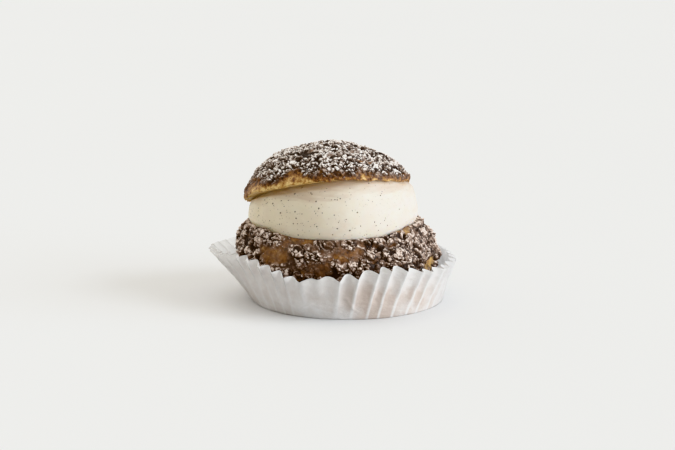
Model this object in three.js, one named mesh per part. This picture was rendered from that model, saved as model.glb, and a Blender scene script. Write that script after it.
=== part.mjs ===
// A coffee cream puff in its pleated paper case.
// Millimetres, +Z up. The case stands on z = 0 and the lid opens towards -Y.
// Angles round the puff are in degrees from the front (-Y), growing towards +X.

import * as THREE from 'three';
import { ConvexGeometry } from 'three/addons/geometries/ConvexGeometry.js';
import { mergeVertices } from 'three/addons/utils/BufferGeometryUtils.js';

// Paper case: a flat floor and a pleated wall that flares more to the left than to the right
const CASE_FLOOR_RADIUS = 34.2;
const CASE_FLOOR_SHIFT = 5.2;
const CASE_RIM_HALF_WIDTH = 42.4;
const CASE_RIM_HALF_DEPTH = 40.2;
const CASE_RIM_HEIGHT = 16.3;
const CASE_LEFT_RISE = 1.9;
const CASE_PAPER = 0.4;
const PLEAT_DEPTH = 1.5;
const PLEAT_NOD = 0.5;
const PLEAT_SWIRL = 10;
const PLEAT_MEAN_WIDTH = 8.2;
const PLEAT_SEED = 5;
const WALL_ROWS = 3;

// Outer folds of the pleats across the front, where the paper is pressed out of step
const FRONT_FOLDS = [-50, -43, -36, -29, -23, -15, 3, 11.5, 21, 27.5, 36, 46];
const PRESSED_PLEAT = { angle: -7, halfWidth: 9, depthKept: 0.35 };

// Rises and dips of the rim: where, how wide and how high each is
const RIM_WAVES = [
  { angle: -48, halfWidth: 16, height: 2.9 },
  { angle: -17, halfWidth: 9, height: -1.6 },
  { angle: 28, halfWidth: 16, height: 3.1 },
  { angle: 150, halfWidth: 25, height: 1.6 },
  { angle: 240, halfWidth: 22, height: -1.3 },
];

// Lower half of the bun: a round body cut flat where the cream sits
const BUN_CENTRE = { x: 1.5, y: -0.7 };
const BUN_RADIUS = 34.6;
const BUN_WAIST_HEIGHT = 16;
const BUN_FOOT_RADIUS = 8;
const BUN_FOOT_HEIGHT = 0.9;
const BUN_CUT_RADIUS = 29.2;
const BUN_CUT_HEIGHT = 27.8;
const BUN_CUT_TILT = 0.025;
const BUN_LEAN = -0.1;
const BUN_TOP_POWER = 2.5;
const BUN_FOOT_POWER = 2.2;
const BUN_CRUST_FOOT = 7;
const BUN_EDGE_FADE = 1.2;

// Shares of the way along the bun's profile at which it turns
const BUN_TURNS = { foot: 0.1, waist: 0.45, cut: 0.75 };

// Cream: a wedge between the cut of the bun and the tilted lid
const CREAM_FRONT_RADIUS = 31.2;
const CREAM_SIDE_RADIUS = 30.1;
const CREAM_BACK_RADIUS = 25.5;
const CREAM_WIDEST_SHARE = 0.25;
const CREAM_TOP_DRAW_IN = 0.19;
const CREAM_FOOT_DRAW_IN = 1.1;
const CREAM_CLEARANCE = 0.45;
const CREAM_COLUMNS = 64;
const CREAM_ROWS = [0, 0.1, 0.25, 0.45, 0.65, 0.85, 1];

// Lid: a shallow dome, hinged down at the back
const LID_CENTRE = { x: -2.1, y: -0.8, z: 38.9 };
const LID_RADIUS = 29.6;
const LID_HEIGHT = 15.8;
const LID_PITCH = 17.3;
const LID_ROLL = 6.1;
const LID_INNER_POWER = 2.1;
const LID_OUTER_POWER = 1.4;
const LID_EDGE_FADE = 1.6;

// Share of the way along the lid's profile at which it turns under
const LID_EDGE_TURN = 0.7;

// Cracked sugar crust: rounded lumps on the baked skin
const BUN_CRUST = { spacing: 3.9, height: 1.5, lumpSeed: 11, grainSeed: 31 };
const LID_CRUST = { spacing: 3.5, height: 1.1, lumpSeed: 23, grainSeed: 47 };
const LUMP_REACH = 0.48;
const LUMP_REACH_PLAY = 0.14;
const LUMP_HEIGHT_PLAY = 0.4;
const LUMP_STEEPNESS = 2;
const SKIN_SWELL = 0.3;
const SKIN_SWELL_LENGTH = 4.2;
const SKIN_SWELL_START = { x: 1, y: 2, z: 4 };

// The bodies are wrapped round scattered points, close under the crust and wide elsewhere
const CRUST_GRAIN = 1.4;
const SMOOTH_GRAIN = 5;
const GRAIN_PLAY = 0.4;
const FLAT_CROWN = 0.1;
const PROFILE_STEPS = 400;

// Patches of bare golden skin between the crust: where each is, and half its sizes
const BUN_BARE = [
  { angle: -37, height: 21, halfAngle: 14, halfHeight: 3.6 },
  { angle: -11, height: 18.2, halfAngle: 10, halfHeight: 3 },
  { angle: 6, height: 24, halfAngle: 11, halfHeight: 3.6 },
  { angle: -29, height: 27, halfAngle: 18, halfHeight: 1.6 },
  { angle: 68, height: 15.4, halfAngle: 9, halfHeight: 3.2 },
  { angle: 128, height: 19, halfAngle: 13, halfHeight: 3 },
  { angle: 176, height: 16, halfAngle: 15, halfHeight: 3.4 },
  { angle: 222, height: 20, halfAngle: 11, halfHeight: 3 },
  { angle: 268, height: 13, halfAngle: 10, halfHeight: 2.4 },
];

// The lid's bare golden edge: its usual height, and where it reaches higher
const LID_BARE_EDGE = 0.7;
const LID_BARE_RISES = [
  { angle: -66, halfWidth: 15, height: 3.2 },
  { angle: -24, halfWidth: 9, height: 4.2 },
  { angle: -4, halfWidth: 8, height: 1 },
  { angle: 26, halfWidth: 4, height: 1 },
  { angle: 118, halfWidth: 20, height: 1.8 },
  { angle: 205, halfWidth: 24, height: 2.4 },
];

const PAPER_FINISH = { color: 0xf1eeea, roughness: 0.85 };
const BUN_FINISH = { color: 0x7a5436, roughness: 0.7 };
const LID_FINISH = { color: 0x8a6a50, roughness: 0.7 };
const CREAM_FINISH = { color: 0xe6dccb, roughness: 0.5 };

const FULL_TURN = 360;
const RANDOM = { multiplier: 1664525, increment: 1013904223, modulus: 2 ** 32 };

const radians = (degrees) => THREE.MathUtils.degToRad(degrees);

// The signed difference between two angles, from -180 to 180
function turnBetween(angle, other) {
  return THREE.MathUtils.euclideanModulo(angle - other + FULL_TURN / 2, FULL_TURN) - FULL_TURN / 2;
}

function bell(distance, halfWidth) {
  return Math.exp(-((distance / halfWidth) ** 2));
}

// The sum of the bell-shaped rises at an angle
function risesAt(rises, angle) {
  return rises.reduce(
    (sum, rise) => sum + rise.height * bell(turnBetween(angle, rise.angle), rise.halfWidth),
    0,
  );
}

// The same run of even random numbers from 0 to 1 for the same seed
function randomFrom(seed) {
  let state = seed;
  return () => {
    state = (state * RANDOM.multiplier + RANDOM.increment) % RANDOM.modulus;
    return state / RANDOM.modulus;
  };
}

function meshOf(name, geometry, finish) {
  const mesh = new THREE.Mesh(geometry, new THREE.MeshStandardMaterial({ ...finish, metalness: 0 }));
  mesh.name = name;
  return mesh;
}

// A closed body through rings of points, with a fan to a centre point at each end. From the
// ring turnedFrom on, the bands are split the other way, so that both faces of a sheet match.
function bodyThroughRings(firstCentre, rings, lastCentre, turnedFrom = Infinity) {
  const positions = [];
  const triangle = (a, b, c) => positions.push(...a, ...b, ...c);
  const columns = rings[0].length;
  const lastRing = rings[rings.length - 1];
  for (let column = 0; column < columns; column += 1) {
    const next = (column + 1) % columns;
    triangle(firstCentre, rings[0][next], rings[0][column]);
    for (let row = 0; row + 1 < rings.length; row += 1) {
      const [here, above] = [rings[row], rings[row + 1]];
      const corners = [here[column], here[next], above[next], above[column]];
      const [a, b, c, d] = row < turnedFrom ? corners : [...corners.slice(1), corners[0]];
      triangle(a, b, c);
      triangle(a, c, d);
    }
    triangle(lastRing[column], lastRing[next], lastCentre);
  }
  const geometry = new THREE.BufferGeometry();
  geometry.setAttribute('position', new THREE.Float32BufferAttribute(positions, 3));
  return mergeVertices(geometry);
}

// Baked bodies

// Points spread evenly over a body of revolution, ring by ring along its profile
function scatterOnProfile(profileAt, spacingAt, random) {
  const points = [];
  let previous = profileAt(0);
  let travelled = 0;
  let lastShare = 0;
  let turned = 0;
  for (let step = 0; step <= PROFILE_STEPS; step += 1) {
    const share = step / PROFILE_STEPS;
    const here = profileAt(share);
    const spacing = spacingAt(share);
    travelled += Math.hypot(here.radius - previous.radius, here.height - previous.height);
    previous = here;
    if (travelled < spacing && step > 0 && step < PROFILE_STEPS) continue;
    travelled = 0;
    turned += 0.5;
    const count = Math.max(1, Math.round((2 * Math.PI * here.radius) / spacing));
    for (let index = 0; index < count; index += 1) {
      const around = (random() - 0.5) * GRAIN_PLAY;
      const along = (random() - 0.5) * GRAIN_PLAY * (share - lastShare);
      const nudged = profileAt(THREE.MathUtils.clamp(share + along, 0, 1));
      points.push({ angle: (FULL_TURN * (index + turned + around)) / count, ...nudged });
    }
    lastShare = share;
  }
  return points;
}

function toVector(point) {
  return new THREE.Vector3(
    point.radius * Math.sin(radians(point.angle)),
    -point.radius * Math.cos(radians(point.angle)),
    point.height,
  );
}

// The lumps of crust on a body, each with its own place, reach and height
function lumpsOn(profileAt, crust, hasCrust) {
  const random = randomFrom(crust.lumpSeed);
  return scatterOnProfile(profileAt, () => crust.spacing, random)
    .map((site) => ({
      site,
      place: toVector(site),
      reach: crust.spacing * (LUMP_REACH + LUMP_REACH_PLAY * random()),
      height: crust.height * (1 - LUMP_HEIGHT_PLAY * random()),
    }))
    .filter((lump) => hasCrust(lump.site));
}

// How far the crust stands above the skin at a point
function crustHeight(place, lumps) {
  let height = 0;
  for (const lump of lumps) {
    const nearness = 1 - (place.distanceTo(lump.place) / lump.reach) ** 2;
    if (nearness > 0) height = Math.max(height, lump.height * Math.min(1, LUMP_STEEPNESS * nearness));
  }
  return height;
}

// The slow swells and hollows that keep a baked body from being round
function swellHeight(place) {
  const wave = (axis) => Math.sin(place[axis] / SKIN_SWELL_LENGTH + SKIN_SWELL_START[axis]);
  return SKIN_SWELL * (wave('x') + wave('y') + wave('z'));
}

// A body of revolution wrapped round its scattered points, with the crust raised on it
function crustedBody(profileAt, spacingAt, lumps, riseShareAt, seed) {
  const points = scatterOnProfile(profileAt, spacingAt, randomFrom(seed)).map(toVector);
  const hull = new ConvexGeometry(points);
  hull.deleteAttribute('normal');
  const geometry = mergeVertices(hull);
  geometry.computeVertexNormals();
  const position = geometry.getAttribute('position');
  const normal = geometry.getAttribute('normal');
  const place = new THREE.Vector3();
  const outward = new THREE.Vector3();
  for (let index = 0; index < position.count; index += 1) {
    place.fromBufferAttribute(position, index);
    outward.fromBufferAttribute(normal, index);
    const rise = crustHeight(place, lumps) + swellHeight(place);
    place.addScaledVector(outward, rise * riseShareAt(place));
    position.setXYZ(index, place.x, place.y, place.z);
  }
  geometry.deleteAttribute('normal');
  return geometry;
}

// Paper case

// The outer folds all the way round: the pressed ones in front, then even ones with some play
function pleatFolds() {
  const random = randomFrom(PLEAT_SEED);
  const start = FRONT_FOLDS[FRONT_FOLDS.length - 1];
  const span = FRONT_FOLDS[0] + FULL_TURN - start;
  const count = Math.round(span / PLEAT_MEAN_WIDTH);
  const folds = [...FRONT_FOLDS];
  for (let index = 1; index < count; index += 1) {
    folds.push(start + (span * (index + (random() - 0.5) * GRAIN_PLAY)) / count);
  }
  return folds;
}

// How far a fold stands out of the wall at the rim
function pleatDepthAt(angle) {
  const pressed = bell(turnBetween(angle, PRESSED_PLEAT.angle), PRESSED_PLEAT.halfWidth);
  return PLEAT_DEPTH * (1 - (1 - PRESSED_PLEAT.depthKept) * pressed);
}

function rimHeightAt(angle) {
  return CASE_RIM_HEIGHT - CASE_LEFT_RISE * Math.sin(radians(angle)) + risesAt(RIM_WAVES, angle);
}

// A point of the wall: share 0 is at the floor's edge and share 1 at the rim, and pleat runs
// from 1 on an outer fold to -1 on an inner one
function wallPoint(angle, pleat, share, inset) {
  const floorAngle = radians(angle - PLEAT_SWIRL);
  const rimAngle = radians(angle);
  const floorX = CASE_FLOOR_SHIFT + (CASE_FLOOR_RADIUS - inset) * Math.sin(floorAngle);
  const floorY = -(CASE_FLOOR_RADIUS - inset) * Math.cos(floorAngle);
  const reach = pleat * pleatDepthAt(angle) * share - inset;
  const rimX = (CASE_RIM_HALF_WIDTH + reach) * Math.sin(rimAngle);
  const rimY = -(CASE_RIM_HALF_DEPTH + reach) * Math.cos(rimAngle);
  const rimZ = rimHeightAt(angle) - pleat * PLEAT_NOD;
  return [
    THREE.MathUtils.lerp(floorX, rimX, share),
    THREE.MathUtils.lerp(floorY, rimY, share),
    THREE.MathUtils.lerp(inset, rimZ, share),
  ];
}

function paperCase() {
  const folds = pleatFolds();
  const columns = folds.flatMap((fold, index) => {
    const following = index + 1 < folds.length ? folds[index + 1] : folds[0] + FULL_TURN;
    const quarter = (following - fold) / 4;
    return [1, 0, -1, 0].map((pleat, step) => ({ angle: fold + quarter * step, pleat }));
  });
  const ring = (share, inset) =>
    columns.map((column) => wallPoint(column.angle, column.pleat, share, inset));
  const shares = Array.from({ length: WALL_ROWS + 1 }, (_, row) => row / WALL_ROWS);
  const outside = shares.map((share) => ring(share, 0));
  const inside = shares.reverse().map((share) => ring(share, CASE_PAPER));
  const geometry = bodyThroughRings(
    [CASE_FLOOR_SHIFT, 0, 0],
    [...outside, ...inside],
    [CASE_FLOOR_SHIFT, 0, CASE_PAPER],
    outside.length,
  );
  return meshOf('paper_case', geometry, PAPER_FINISH);
}

// Lower half of the bun

// The bun's profile from the middle of its foot, round the side, to the middle of the cut
function bunProfile(share) {
  const { foot, waist, cut } = BUN_TURNS;
  if (share < foot) {
    const outward = share / foot;
    const height = BUN_FOOT_HEIGHT - FLAT_CROWN * (1 - outward ** 2);
    return { radius: BUN_FOOT_RADIUS * outward, height };
  }
  if (share < waist) {
    const below = 1 - Math.sin(((share - foot) / (waist - foot)) * (Math.PI / 2));
    const spread = (1 - below ** BUN_FOOT_POWER) ** (1 / BUN_FOOT_POWER);
    return {
      radius: BUN_FOOT_RADIUS + (BUN_RADIUS - BUN_FOOT_RADIUS) * spread,
      height: BUN_WAIST_HEIGHT - (BUN_WAIST_HEIGHT - BUN_FOOT_HEIGHT) * below,
    };
  }
  if (share < cut) {
    const above = (share - waist) / (cut - waist);
    return {
      radius: BUN_RADIUS - (BUN_RADIUS - BUN_CUT_RADIUS) * above ** BUN_TOP_POWER,
      height: BUN_WAIST_HEIGHT + (BUN_CUT_HEIGHT - BUN_WAIST_HEIGHT) * above,
    };
  }
  const outward = (1 - share) / (1 - cut);
  return {
    radius: BUN_CUT_RADIUS * outward,
    height: BUN_CUT_HEIGHT + FLAT_CROWN * (1 - outward ** 2),
  };
}

function isBareOnBun(site) {
  return BUN_BARE.some((patch) => {
    const across = turnBetween(site.angle, patch.angle) / patch.halfAngle;
    const up = (site.height - patch.height) / patch.halfHeight;
    return across ** 2 + up ** 2 < 1;
  });
}

function isBunSide(point) {
  return point.height > BUN_CRUST_FOOT && point.radius >= BUN_CUT_RADIUS;
}

// The foot and the cut face stay flat, and the crust thins out towards the edge of the cut
function bunRiseShareAt(place) {
  const isFoot = place.z < BUN_FOOT_HEIGHT + FLAT_CROWN;
  return isFoot ? 0 : THREE.MathUtils.clamp((BUN_CUT_HEIGHT - place.z) / BUN_EDGE_FADE, 0, 1);
}

// Leans the bun to the left above its waist, and dips its cut towards the front
function settleBun(geometry) {
  const position = geometry.getAttribute('position');
  for (let index = 0; index < position.count; index += 1) {
    const above = Math.max(0, position.getZ(index) - BUN_WAIST_HEIGHT);
    const share = above / (BUN_CUT_HEIGHT - BUN_WAIST_HEIGHT);
    const dip = BUN_CUT_TILT * position.getY(index) * share;
    position.setX(index, position.getX(index) + BUN_LEAN * above);
    position.setZ(index, position.getZ(index) + dip);
  }
}

function chouxBase() {
  const spacingAt = (share) => (isBunSide(bunProfile(share)) ? CRUST_GRAIN : SMOOTH_GRAIN);
  const hasCrust = (site) => isBunSide(site) && !isBareOnBun(site);
  const lumps = lumpsOn(bunProfile, BUN_CRUST, hasCrust);
  const geometry = crustedBody(bunProfile, spacingAt, lumps, bunRiseShareAt, BUN_CRUST.grainSeed);
  settleBun(geometry);
  const mesh = meshOf('choux_base', geometry, BUN_FINISH);
  mesh.position.set(BUN_CENTRE.x, BUN_CENTRE.y, 0);
  return mesh;
}

// Lid

// The lid's profile in its own frame, from the top of the dome to the middle of its underside
function lidProfile(share) {
  if (share < LID_EDGE_TURN) {
    const outward = Math.sin((share / LID_EDGE_TURN) * (Math.PI / 2));
    const rise = (1 - outward ** LID_INNER_POWER) ** (1 / LID_OUTER_POWER);
    return { radius: LID_RADIUS * outward, height: LID_HEIGHT * rise };
  }
  const outward = (1 - share) / (1 - LID_EDGE_TURN);
  return { radius: LID_RADIUS * outward, height: -FLAT_CROWN * (1 - outward ** 2) };
}

function lidBareEdgeAt(angle) {
  return LID_BARE_EDGE + risesAt(LID_BARE_RISES, angle);
}

function turnLid(object) {
  object.rotation.set(radians(-LID_PITCH), radians(-LID_ROLL), 0);
}

function chouxCap() {
  const spacingAt = (share) => (share <= LID_EDGE_TURN ? CRUST_GRAIN : SMOOTH_GRAIN);
  const hasCrust = (site) => site.height > lidBareEdgeAt(site.angle);
  const riseShareAt = (place) => THREE.MathUtils.clamp(place.z / LID_EDGE_FADE, 0, 1);
  const lumps = lumpsOn(lidProfile, LID_CRUST, hasCrust);
  const geometry = crustedBody(lidProfile, spacingAt, lumps, riseShareAt, LID_CRUST.grainSeed);
  const mesh = meshOf('choux_cap', geometry, LID_FINISH);
  mesh.position.set(LID_CENTRE.x, LID_CENTRE.y, LID_CENTRE.z);
  turnLid(mesh);
  return mesh;
}

// Cream

// The height of the lid's flat underside above a point
function lidUndersideAt(x, y) {
  const upright = new THREE.Object3D();
  turnLid(upright);
  const normal = new THREE.Vector3(0, 0, 1).applyEuler(upright.rotation);
  const across = normal.x * (x - LID_CENTRE.x) + normal.y * (y - LID_CENTRE.y);
  return LID_CENTRE.z - across / normal.z;
}

function creamFootAt(y) {
  return BUN_CUT_HEIGHT + BUN_CUT_TILT * (y - BUN_CENTRE.y) + CREAM_CLEARANCE;
}

function creamTopAt(x, y) {
  return lidUndersideAt(x, y) - CREAM_CLEARANCE;
}

function creamRadiusAt(angle) {
  const facing = Math.cos(radians(angle));
  const end = facing > 0 ? CREAM_FRONT_RADIUS : CREAM_BACK_RADIUS;
  return THREE.MathUtils.lerp(CREAM_SIDE_RADIUS, end, facing ** 2);
}

// How far the side draws in from its widest, at a share of the way up a side of some height
function creamDrawIn(share, sideHeight) {
  if (share < CREAM_WIDEST_SHARE) {
    return CREAM_FOOT_DRAW_IN * (1 - share / CREAM_WIDEST_SHARE) ** 2;
  }
  const upward = (share - CREAM_WIDEST_SHARE) / (1 - CREAM_WIDEST_SHARE);
  return CREAM_TOP_DRAW_IN * sideHeight * upward ** 2;
}

function creamPoint(angle, share) {
  const across = Math.sin(radians(angle));
  const along = -Math.cos(radians(angle));
  const widest = creamRadiusAt(angle);
  const sideHeight = creamTopAt(widest * across, widest * along) - creamFootAt(widest * along);
  const radius = widest - creamDrawIn(share, sideHeight);
  const x = radius * across;
  const y = radius * along;
  return [x, y, THREE.MathUtils.lerp(creamFootAt(y), creamTopAt(x, y), share)];
}

function cream() {
  const columns = Array.from({ length: CREAM_COLUMNS }, (_, column) => column);
  const rings = CREAM_ROWS.map((share) =>
    columns.map((column) => creamPoint((FULL_TURN * column) / CREAM_COLUMNS, share)),
  );
  const geometry = bodyThroughRings([0, 0, creamFootAt(0)], rings, [0, 0, creamTopAt(0, 0)]);
  return meshOf('cream', geometry, CREAM_FINISH);
}

const creamPuff = new THREE.Group();
creamPuff.add(paperCase(), chouxBase(), cream(), chouxCap());

export default creamPuff;
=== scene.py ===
# A coffee cream puff in its pleated paper case: fine surfaces, materials, light and camera.
# Lengths are in millimetres until a mesh is made, and in metres for materials and the camera.
# Angles round the puff are in degrees from the front (-Y), growing towards +X.

import itertools
import math

import bpy
import numpy as np
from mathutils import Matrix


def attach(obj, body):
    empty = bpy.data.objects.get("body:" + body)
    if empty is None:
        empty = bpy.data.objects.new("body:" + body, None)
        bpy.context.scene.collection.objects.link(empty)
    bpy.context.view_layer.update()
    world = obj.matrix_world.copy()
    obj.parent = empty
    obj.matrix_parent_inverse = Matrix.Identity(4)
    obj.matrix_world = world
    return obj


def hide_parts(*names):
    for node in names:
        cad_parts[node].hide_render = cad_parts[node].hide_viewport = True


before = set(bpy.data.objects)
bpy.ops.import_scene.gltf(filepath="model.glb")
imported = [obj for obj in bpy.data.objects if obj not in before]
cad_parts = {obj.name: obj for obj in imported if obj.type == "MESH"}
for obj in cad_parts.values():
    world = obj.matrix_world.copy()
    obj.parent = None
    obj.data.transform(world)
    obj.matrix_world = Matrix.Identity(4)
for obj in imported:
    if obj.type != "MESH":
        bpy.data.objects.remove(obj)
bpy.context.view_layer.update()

MILLIMETRE = 0.001
FULL_TURN = 360

# Paper case
CASE_FLOOR_RADIUS = 34.2
CASE_FLOOR_SHIFT = 5.2
CASE_RIM_HALF_WIDTH = 42.4
CASE_RIM_HALF_DEPTH = 40.2
CASE_RIM_HEIGHT = 16.3
CASE_LEFT_RISE = 1.9
CASE_PAPER = 0.12
PLEAT_DEPTH = 1.5
PLEAT_NOD = 0.5
PLEAT_SWIRL = 10
PLEAT_MEAN_WIDTH = 8.2
PLEAT_SEED = 5
PLEAT_PLAY = 0.4
PLEAT_RIDGE = 0.05
PLEAT_FADE = 0.75
PLEAT_COLUMNS = 14
WALL_ROWS = 40
FRONT_FOLDS = [-50, -43, -36, -29, -23, -15, 3, 11.5, 21, 27.5, 36, 46]
RIM_WAVES = [(-48, 16, 2.9), (-17, 9, -1.6), (28, 16, 3.1), (150, 25, 1.6), (240, 22, -1.3)]
# Small dips of the rim at its outer folds
RIM_DIPS = [
    (-17, 2, 0.6), (-6.7, 2.4, 1.1), (3, 1.8, 0.8), (11.3, 2, 0.7), (22, 1.8, 0.7), (28.5, 1.6, 0.5),
    (37, 1.8, 0.5),
]
# Where the pleats are pressed or pulled nearly flat: the angle, half the width and what is left
FLAT_PLEATS = [(-7, 9, 0.35), (-98, 26, 0.45)]
# How far the rim curls out at the left
RIM_CURLS = [(-93, 13, 1.3)]

# Lower half of the bun
BUN_CENTRE = (1.5, -0.7)
BUN_RADIUS = 34.6
BUN_WAIST_HEIGHT = 16
BUN_FOOT_RADIUS = 8
BUN_FOOT_HEIGHT = 0.9
BUN_CUT_RADIUS = 29.2
BUN_CUT_HEIGHT = 27.8
BUN_CUT_TILT = 0.025
BUN_LEAN = -0.1
BUN_TOP_POWER = 2.5
BUN_FOOT_POWER = 2.2
BUN_CRUST_FOOT = 7
BUN_EDGE_FADE = 1.2
BUN_FOOT_TURN = 0.1
BUN_WAIST_TURN = 0.45
BUN_CUT_TURN = 0.75

# Cream
CREAM_FRONT_RADIUS = 31.2
CREAM_SIDE_RADIUS = 30.1
CREAM_BACK_RADIUS = 25.5
CREAM_WIDEST_SHARE = 0.25
CREAM_TOP_DRAW_IN = 0.19
CREAM_FOOT_DRAW_IN = 1.1
CREAM_COLUMNS = 420
CREAM_ROWS = 72

# Lid
LID_CENTRE = (-2.1, -0.8, 38.9)
LID_RADIUS = 29.6
LID_HEIGHT = 15.8
LID_PITCH = 17.3
LID_ROLL = 6.1
LID_INNER_POWER = 2.1
LID_OUTER_POWER = 1.4
LID_EDGE_FADE = 1.6
LID_EDGE_TURN = 0.7

# Crust: the lumps' spacing, height and seed; the sizes of the crumbs, how far each size stands
# out, how steeply their broken tops slope, how deep the gaps go below the skin, how ragged they
# are, and their random salt; how much sugar there is, and how much more on top and at the right
BUN_CRUST = {
    "spacing": 3.9, "height": 1.5, "seed": 11, "sizes": (4.6, 2.0, 0.95), "lifts": (1.25, 0.45, 0.2),
    "tilt": 1.4, "sink": 0.45, "ragged": (0.5, 2.3), "salt": 100, "sugar": (0.62, 0.7, -0.19),
}
LID_CRUST = {
    "spacing": 3.5, "height": 1.1, "seed": 23, "sizes": (3.6, 1.7, 0.85), "lifts": (0.65, 0.45, 0.22),
    "tilt": 1.2, "sink": 0.4, "ragged": (0.9, 2.3), "salt": 200, "sugar": (0.18, 1.32, 0.04),
}
LUMP_REACH = 0.48
LUMP_REACH_PLAY = 0.14
LUMP_HEIGHT_PLAY = 0.4
LUMP_STEEPNESS = 2
SKIN_SWELL = 0.3
SKIN_SWELL_LENGTH = 4.2
SKIN_SWELL_START = (1, 2, 4)
GRAIN_PLAY = 0.4
FLAT_CROWN = 0.1
PROFILE_STEPS = 400
BUN_STEP = 0.215
LID_STEP = 0.21

# Patches of bare skin on the bun: angle, height, half their angle and half their height
BUN_BARE = [
    (-37, 21, 14, 3.6), (-11, 18.2, 10, 3), (6, 24, 11, 3.6), (-29, 27, 18, 1.6), (68, 15.4, 9, 3.2),
    (128, 19, 13, 3), (176, 16, 15, 3.4), (222, 20, 11, 3), (268, 13, 10, 2.4), (60, 27.4, 16, 0.9),
]
# How deeply each of them is baked, from 0 for pale gold to 1 for dark brown
BARE_BAKE = [0.46, 0.78, 0.6, 0.55, 0.05, 0.4, 0.7, 0.5, 0.6, 0.32]
# How much of each is strewn with stray crumbs
BARE_STREWN = [0.15, 0.6, 0.9, 0.9, 0.7, 0.5, 0.5, 0.5, 0.5, 0.4]
# Where crumbs stand up beside the cream round the cut, and where the lid's edge droops
BUN_EDGE_LIFTS = [(-54, 24, 1.8), (60, 22, 2.0), (150, 30, 0.8), (215, 30, 0.9)]
BUN_EDGE_SPREAD = 0.3
LID_DROOPS = [(52, 34, 1.25), (160, 30, 0.5), (255, 24, 0.6)]
LID_BARE_EDGE = 0.7
LID_BARE_RISES = [(-66, 15, 3.2), (-24, 9, 4.2), (-4, 8, 1), (26, 4, 1), (118, 20, 1.8), (205, 24, 2.4)]
# Swells of the lid from left to right: where, half their width and their height
LID_SWELLS = [(-16.5, 7.5, 1.15), (14, 6, -0.4)]

# For each size: how wide the gaps beside a crumb are, the share of the crumbs that fell off,
# and how light the gaps stay, whose darkness is partly the baked skin and partly painted shade
CRUMB_GAPS = (0.26, 0.19, 0.09)
MISSING_CRUMBS = (0.02, 0.1, 0.18)
GAP_LIGHTNESS = (0.04, 0.1, 0.55)
GAP_FLOOR = 0.15
CRUMB_ROUNDING = 0.35
CRUMB_SLOPE_MOST = 0.4
CRUMB_HEIGHT_PLAY = 0.35
CRUMB_LEAST = 0.35
LUMP_SHARE = 0.3
SKIN_GRAIN = 0.3
SKIN_GRAIN_SIZE = 1.8
# How ragged outlines are: how far they are moved about, and the size of the swells that move them
LUMP_RAGGEDNESS = (0.8, 1.7)
CRUMB_RAGGEDNESS = (0.5, 0.7)
PATCH_RAGGEDNESS = ((2.2, 4.5), (0.7, 1.2))
LIP_RAGGEDNESS = (0.8, 1.9)
# Where a smooth slope from 0 to 1 starts and ends
CRUST_EDGE = (0.06, 0.3)
FILLER_EDGE = (-0.5, 0)
PATCH_EDGE = (0.4, 0.85)
STRAY_EDGE = (-0.1, 0.15)
LIP_EDGE = (-0.5, 0.1)
LIFT_EDGE = (0.8, 6)
LIFT_TOP = (0, 0.4)
FILLER_SIZE = 3.2
STRAY_SIZE = 2.6
BUN_BAKE = 0.75
BARE_FOOT_FADE = 3
LIFT_PLAY = 0.3
LIFT_PLAY_SIZE = 2.6
# Where fewer small crumbs fill the gaps between the lumps: angle, half width and how many fewer
BUN_THIN_CRUST = [(-14, 24, 0.3), (170, 40, 0.3)]
PATCH_SALT = 500
LIFT_SALT = 540
LIP_SALT = 600

# Icing sugar, and how much it differs from crumb to crumb on large crumbs and on small ones
TONE_PLAY = 0.5
FLECK_PLAY = 0.72
SUGAR_PATCH_PLAY = 0.42
SUGAR_PATCH_SIZE = 5.5
SUGAR_EDGE = (0.12, 0.5)
SUGAR_MOST = 1.35
SKIN_SUGAR = 0.06
SKIN_SUGAR_PLAY = 0.5
SKIN_SUGAR_SIZE = 2.8

# The lid's lip: how deeply it is baked, where more (angle, half width and how much more), and
# how deeply at its top, with the shares of its height where that starts and is reached
LIP_BAKE = 0.12
LIP_DEEPER_BAKE = [(6, 22, 0.65), (-74, 12, 0.45), (62, 30, 0.4)]
LIP_TOP_BAKE = (0.85, 0.1, 1)
LIP_TOP_MARGIN = 0.6
LIP_ROUNDING = 0.45
LIP_ROUNDING_HEIGHT = 1.2
LIP_LOWERED = 0.1
LID_DROOP_HEIGHT = 7
# Layers of noise along the lip: how strong and how long each is
LIP_WAVERS = ((0.35, 2.4), (0.3, 0.9))
LIP_DIPS = ((0.35, 3.1), (0.25, 1.1))
LID_SWELL_FOOT = (1, 8)
LID_SWELL_BACK = (22, 8)
# Near the lip, the least share of the sugar and of the crust, the full share, and the heights
# over which each grows
LIP_THINNING = ((0.15, 1, 0, 2.4), (0.2, 1, 0.2, 2.8))
LIP_PLAY_SIZE = 1.8
# Rings of the lid's underside: the share of the profile, and the part of the edge's rise kept
UNDERSIDE_RINGS = [
    (0.708, 0.9), (0.73, 0.2), (0.76, 0), (0.806, 0), (0.852, 0), (0.898, 0), (0.944, 0), (0.99, 0),
]

# How finely profiles are followed
NUDGE = 1e-6
PROFILE_NUDGE = 1e-4
LID_TOP_SHARE = 1e-3
PROFILE_SAMPLES = 2000
BUN_FINE_START = 0.55
COARSE_STEP = 3
BUN_FOOT_RINGS = (0.02, BUN_FOOT_TURN, 3)
BUN_CUT_RINGS = (BUN_CUT_TURN, 0.98, 4)

# The cream's side: layers of swells, the crease below its top, and the tuck under the lid
CREAM_SWELLS = ((0.28, 9), (0.1, 3.5))
CREAM_SALT = 300
CREAM_EDGE_FADE = 8
CREAM_CREASE = {"share": 0.91, "wave": 0.02, "waves": 3, "half_width": 0.03, "depth": 0.45}
CREAM_TUCK = 1.3
CREAM_TUCK_EDGE = (0.86, 0.99)
CREAM_INNER_RINGS = (0.66, 0.33)

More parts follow.
